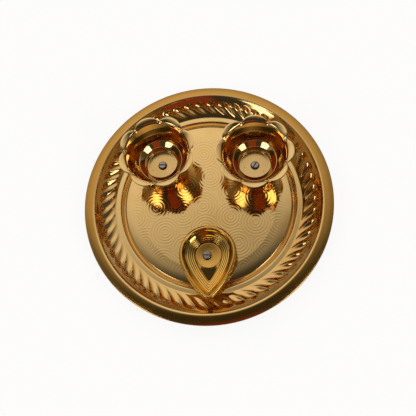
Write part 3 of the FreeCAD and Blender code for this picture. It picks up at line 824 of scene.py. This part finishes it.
def metal(name, colour, deep, gloss, finish):
    """A worn, polished metal.

    The finish gives its own roughness, relief in metres, and tone. A tone of 1 turns the metal to
    its deep colour and a tone of 2 to the dark colour of marks, dirt and painted shade.
    """
    material = bpy.data.materials.new(name)
    material.use_nodes = True
    shader = Shader(material.node_tree)
    place = shader.add("ShaderNodeTexCoord").outputs["Object"]
    smudge = shader.noise(place, scale=55.0, detail=4.0, roughness=0.6)
    grain = shader.noise(place, scale=900.0, detail=3.0)
    tarnish = shader.noise(place, scale=22.0, detail=5.0, roughness=0.65)
    roughness, relief, tone = finish(shader, place)
    wear = shader.ramp(smudge, 0.45, 0.75, end=0.05)
    roughness = shader.math("ADD", shader.math("ADD", roughness, wear), gloss)
    relief = shader.math("ADD", relief, shader.math("MULTIPLY", grain, GRAIN_DEPTH))
    bump = shader.add("ShaderNodeBump", {"Height": relief, "Distance": 1.0, "Strength": 1.0})
    depth = shader.math("ADD", shader.ramp(tarnish, 0.45, 0.8, end=0.6), tone, clamp=True)
    tint = shader.mix(depth, colour, deep)
    shader.show("ShaderNodeOutputMaterial", shader.add("ShaderNodeBsdfPrincipled", {
        "Base Color": shader.mix(shader.ramp(tone, 1.0, 2.0), tint, STAIN_AND_SHADE),
        "Metallic": 1.0,
        "Roughness": shader.math("MAXIMUM", roughness, LEAST_ROUGHNESS),
        "Normal": bump.outputs["Normal"],
    }))
    return material


def distance_from(shader, place, x, y):
    """Distance from an upright axis, in millimetres."""
    offset = shader.vector("SUBTRACT", place, (x * MM, y * MM, 0.0))
    flat = shader.vector("MULTIPLY", offset, (1 / MM, 1 / MM, 0.0))
    return shader.vector("LENGTH", flat)


def height_above(shader, place, z):
    """Height in millimetres."""
    separate = shader.add("ShaderNodeSeparateXYZ", {"Vector": place})
    return shader.math("MULTIPLY_ADD", separate.outputs["Z"], 1 / MM, -z)


def turned_lines(shader, radius, spacing, depth):
    """Fine concentric tool marks, in metres. The spacing and the depth are millimetres."""
    inputs = {"W": shader.math("DIVIDE", radius, spacing), "Scale": 1.0, "Detail": 2.0}
    uneven = shader.add("ShaderNodeTexNoise", inputs, noise_dimensions="1D")
    return shader.math("MULTIPLY", uneven.outputs["Fac"], depth * MM)


def plate_finish(shader, place):
    """Mirror-bright flutes with painted shade in a deeper brass, a swirled floor with painted shade along
    its swirls, and a satin flange in a deeper brass with turned lines.
    """
    radius = distance_from(shader, place, 0.0, 0.0)
    flange = shader.above(radius, FLANGE_START, 0.6)
    ledge = shader.band(radius, LEDGE_START - 0.2, FLUTE_START + 0.6, 0.5)
    flutes = shader.band(radius, FLUTE_START, FLUTE_END + 2.8, 0.8)
    swirl = shader.add("ShaderNodeAttribute", attribute_name="swirl").outputs["Fac"]
    roughness = shader.math("MULTIPLY_ADD", flange, 0.1, shader.math("MULTIPLY", ledge, 0.05))
    roughness = shader.math("MULTIPLY_ADD", swirl, 0.04, shader.math("ADD", roughness, 0.02))
    lines = turned_lines(shader, radius, spacing=0.18, depth=0.0012)
    lines = shader.math("MULTIPLY", lines, shader.math("ADD", flange, 0.04))
    # Painted shade: the flutes turn towards the deep brass, standing in for the dark interreflections in
    # their scoops. The flange turns to the deep brass all over.
    tone = shader.math("MULTIPLY_ADD", flutes, 0.28, shader.math("MULTIPLY", flange, 0.95))
    # Painted shade along the swirls: the colour deepens and lightens with the swirl's height.
    tone = shader.math("MULTIPLY_ADD", swirl, 0.3, tone)
    return roughness, lines, tone


def cup_finish(x, y, marks):
    """A bright bowl with a matte floor, tack marks in the floor, and a dark ring round the screw of dirt
    and painted shade.
    """

    def finish(shader, place):
        radius = distance_from(shader, place, x, y)
        height = height_above(shader, place, FLOOR_HEIGHT + CUP_FOOT + CUP_WALL)
        floor = shader.math(
            "MULTIPLY",
            shader.below(radius, CUP_FLOOR_RADIUS - 0.8, 0.3),
            shader.band(height, -0.3, 0.3, 0.1),
        )
        roughness = shader.math("MULTIPLY", floor, 0.2)
        lines = turned_lines(shader, radius, spacing=0.3, depth=0.0006)
        # Painted shade: a dark ring round the screw head where it sits on the floor, with dirt. The tack
        # marks below are real marks.
        marks_and_shade = shader.ramp(radius, HEAD_RADIUS + 0.2, HEAD_RADIUS + 0.9, 1.0, 0.0)
        for bearing in marks:
            mark_x = x + TACK_RADIUS * math.sin(math.radians(bearing))
            mark_y = y + TACK_RADIUS * math.cos(math.radians(bearing))
            mark = shader.ramp(distance_from(shader, place, mark_x, mark_y), 0.25, 0.7, 0.55, 0.0)
            marks_and_shade = shader.math("MAXIMUM", marks_and_shade, mark)
        marks_and_shade = shader.math("MULTIPLY", marks_and_shade, floor)
        return roughness, lines, shader.math("MULTIPLY", marks_and_shade, 1.9)

    return finish


def lamp_finish(shader, place):
    """A bright lamp with a matte, darker seat and a dark ring round the screw of dirt and painted shade.
    """
    radius = distance_from(shader, place, *LAMP_AT)
    seat = shader.math(
        "MULTIPLY",
        shader.below(radius, SEAT_RADIUS + 0.6, 0.4),
        shader.below(height_above(shader, place, FLOOR_HEIGHT), SEAT_HEIGHT + SEAT_DISH + 0.15, 0.05),
    )
    # Painted shade: a dark ring round the screw head where it sits on the seat, with dirt.
    grime_and_shade = shader.ramp(radius, HEAD_RADIUS + 0.2, HEAD_RADIUS + 1.1, 1.8, 0.0)
    tone = shader.math("MULTIPLY", seat, shader.math("MAXIMUM", grime_and_shade, 0.5))
    lines = turned_lines(shader, radius, spacing=0.4, depth=0.0006)
    return shader.math("MULTIPLY", seat, 0.14), lines, tone


def plain_finish(shader, place):
    """Uneven roughness, relief and tone, for rough castings and fasteners."""
    uneven = shader.noise(place, scale=300.0)
    return shader.math("MULTIPLY", uneven, 0.08), shader.math("MULTIPLY", uneven, 0.002 * MM), uneven


# Camera

CAMERA_AZIMUTH = math.radians(17.99)
CAMERA_TILT = math.radians(19.68)
CAMERA_ROLL = math.radians(-16.85)
CAMERA_DISTANCE = 396.0
AIM_HEIGHT = 11.5
LENS = 47.6
SENSOR = 36.0
SHIFT = (0.0029, -0.0231)


def camera():
    """A camera that looks down at the plate from the front, tilted from straight down."""
    data = bpy.data.cameras.new("camera")
    data.lens = LENS
    data.sensor_width = SENSOR
    data.shift_x, data.shift_y = SHIFT
    data.clip_start = 10 * MM
    made = bpy.data.objects.new("camera", data)
    bpy.context.scene.collection.objects.link(made)
    level = math.sin(CAMERA_TILT)
    back_x = math.sin(CAMERA_AZIMUTH) * level
    back_y = -math.cos(CAMERA_AZIMUTH) * level
    back = Vector((back_x, back_y, math.cos(CAMERA_TILT)))
    right = Vector((math.cos(CAMERA_AZIMUTH), math.sin(CAMERA_AZIMUTH), 0.0))
    up = back.cross(right)
    across = right * math.cos(CAMERA_ROLL) + up * math.sin(CAMERA_ROLL)
    upward = -right * math.sin(CAMERA_ROLL) + up * math.cos(CAMERA_ROLL)
    place = (Vector((0.0, 0.0, AIM_HEIGHT)) + back * CAMERA_DISTANCE) * MM
    made.matrix_world = Matrix((
        (across.x, upward.x, back.x, place.x),
        (across.y, upward.y, back.y, place.y),
        (across.z, upward.z, back.z, place.z),
        (0.0, 0.0, 0.0, 1.0),
    ))
    bpy.context.scene.camera = made


# Studio. Directions are degrees to the right of the camera's axis ("lateral") and degrees over
# from the horizon behind the plate (0), through straight up (90), to the camera's side (180).

SCRIM_LIGHT = (1.0, 0.93, 0.82, 1.0)
RED_CLOTH = (0.24, 0.055, 0.027, 1.0)
RED_CLOTH_AREA = (-19.0, 9.0, 116.0, 164.0, 2.0)
WINDOW_LIGHT = (3.4, 3.3, 3.1, 1.0)
WINDOW_AREAS = ((-58.0, -38.0, 106.0, 140.0, 1.5), (21.0, 42.0, 120.0, 160.0, 1.5))
SCRIM_MIDDLE = (-2.0, 54.0)
SCRIM_SIZE = (58.0, 52.0)
FLOOR_SIZE = 3000.0
FLOOR_GLOW = 1.12
FLOOR_GLOW_SHARE = 0.8


def scrim(shader, lateral, over):
    """The level of a bright sheet above the plate, darker low down, outward and at its front left."""
    off_side = shader.math("DIVIDE", shader.math("SUBTRACT", lateral, SCRIM_MIDDLE[0]), SCRIM_SIZE[0])
    off_back = shader.math("DIVIDE", shader.math("SUBTRACT", over, SCRIM_MIDDLE[1]), SCRIM_SIZE[1])
    off = shader.add("ShaderNodeCombineXYZ", {"X": off_side, "Y": off_back}).outputs[0]
    level = shader.ramp(shader.vector("LENGTH", off), 0.1, 1.2, 1.0, 0.3)
    level = shader.math("MULTIPLY", level, shader.ramp(over, -5.0, 30.0, 0.35, 1.0))
    left = shader.ramp(lateral, -52.0, -14.0, 1.0, 0.0)
    front_left = shader.math("MULTIPLY", left, shader.ramp(over, 48.0, 78.0))
    return shader.math("MULTIPLY", level, shader.math("MULTIPLY_ADD", front_left, -0.68, 1.0))


def dark_front(shader, lateral):
    """The level of the dark camera side, a little brighter to the far left and right."""
    left = shader.ramp(lateral, -56.0, -30.0, 0.3, 0.05)
    right = shader.ramp(lateral, 30.0, 60.0, 0.0, 0.04)
    return shader.math("ADD", left, right)


def world():
    """A pale surround for the camera, and a studio for the brass to mirror."""
    made = bpy.data.worlds.new("studio")
    made.use_nodes = True
    bpy.context.scene.world = made
    shader = Shader(made.node_tree)
    direction = shader.add("ShaderNodeTexCoord").outputs["Generated"]
    east = Vector((math.cos(CAMERA_AZIMUTH), math.sin(CAMERA_AZIMUTH), 0.0))
    north = Vector((-math.sin(CAMERA_AZIMUTH), math.cos(CAMERA_AZIMUTH), 0.0))
    sideways = shader.vector("DOT_PRODUCT", direction, east)
    forward = shader.vector("DOT_PRODUCT", direction, north)
    upward = shader.add("ShaderNodeSeparateXYZ", {"Vector": direction}).outputs["Z"]
    lateral = shader.math("MULTIPLY", shader.math("ARCSINE", sideways), 180 / math.pi)
    over = shader.math("MULTIPLY", shader.math("ARCTAN2", upward, forward), 180 / math.pi)

    def area(left, right, low, high, soft):
        across = shader.band(lateral, left, right, soft)
        return shader.math("MULTIPLY", across, shader.band(over, low, high, soft))

    back_level = scrim(shader, lateral, over)
    front_start = shader.ramp(lateral, 4.0, 40.0, 61.0, 78.0)
    front = shader.ramp(shader.math("SUBTRACT", over, front_start), 0.0, 36.0)
    change = shader.math("SUBTRACT", dark_front(shader, lateral), back_level)
    level = shader.math("MULTIPLY_ADD", front, change, back_level)
    light = shader.mix(level, BLACK, SCRIM_LIGHT)
    light = shader.mix(area(*RED_CLOTH_AREA), light, RED_CLOTH)
    for window in WINDOW_AREAS:
        light = shader.mix(area(*window), light, WINDOW_LIGHT)
    seen = shader.add("ShaderNodeLightPath").outputs["Is Camera Ray"]
    colour = shader.mix(seen, light, WHITE)
    shader.show("ShaderNodeOutputWorld", shader.add("ShaderNodeBackground", {"Color": colour}))


def floor():
    """A plain pale floor that the camera sees as nearly white."""
    material = bpy.data.materials.new("pale_floor")
    material.use_nodes = True
    shader = Shader(material.node_tree)
    seen = shader.add("ShaderNodeLightPath").outputs["Is Camera Ray"]
    matte = shader.add("ShaderNodeBsdfDiffuse", {"Color": (0.8, 0.8, 0.8, 1.0)})
    glow = shader.add("ShaderNodeEmission", {"Color": WHITE, "Strength": FLOOR_GLOW})
    share = shader.math("MULTIPLY", seen, FLOOR_GLOW_SHARE)
    blend = shader.add("ShaderNodeMixShader", {0: share, 1: matte.outputs[0], 2: glow.outputs[0]})
    shader.show("ShaderNodeOutputMaterial", blend)
    size = FLOOR_SIZE
    points = [(-size, -size, 0.0), (size, -size, 0.0), (size, size, 0.0), (-size, size, 0.0)]
    made = mesh_object("floor", points, [(0, 1, 2, 3)])
    made.data.materials.append(material)


def picture_settings():
    scene = bpy.context.scene
    scene.view_settings.view_transform = "Standard"
    scene.view_settings.look = "None"
    scene.cycles.max_bounces = 16
    scene.cycles.glossy_bounces = 14


# The model

plate_brass = metal("plate_brass", BRASS, DEEP_BRASS, 0.05, plate_finish)
foot_brass = metal("foot_brass", BRASS, DEEP_BRASS, 0.12, plain_finish)
lamp_brass = metal("lamp_brass", LAMP_BRASS, DEEP_BRASS, 0.05, lamp_finish)
steels = {
    "screw": metal("screw_steel", STEEL, WARM_STEEL, 0.16, plain_finish),
    "washer": metal("washer_steel", STEEL, DARK_STEEL, 0.25, plain_finish),
    "nut": metal("nut_steel", STEEL, DARK_STEEL, 0.28, plain_finish),
}


def fasten(node, x, y, head, length, turn):
    """The screw, the washer and the nut that hold a cup or the lamp, with the screw's head at a height."""
    for kind, piece in (
        ("screw", screw(node + "_screw", length, x, y, head, turn)),
        ("washer", washer(node + "_washer", x, y)),
        ("nut", nut(node + "_nut", x, y)),
    ):
        stand_for(piece, f"{node}_{kind}", "base", steels[kind])


stand_for(plate(), "plate", "base", plate_brass)
for side, (cup_x, cup_y, _) in CUPS.items():
    bowl_finish = cup_finish(cup_x, cup_y, TACK_MARKS[side])
    cup_brass = metal(side + "_brass", BRASS, DEEP_BRASS, 0.05, bowl_finish)
    stand_for(cup(side), side, side, cup_brass)
    stand_for(cup_foot(side), side + "_foot", side, foot_brass)
stand_for(lamp(), "lamp", "lamp", lamp_brass)

cup_head = FLOOR_HEIGHT + CUP_FOOT + CUP_WALL
fasten("left_cup", *CUPS["left_cup"][:2], cup_head, CUP_SCREW_LENGTH, turn=0.0)
fasten("right_cup", *CUPS["right_cup"][:2], cup_head, CUP_SCREW_LENGTH, turn=62.0)
fasten("lamp", *LAMP_AT, FLOOR_HEIGHT + SEAT_HEIGHT, LAMP_SCREW_LENGTH, turn=0.0)

floor()
world()
camera()
picture_settings()
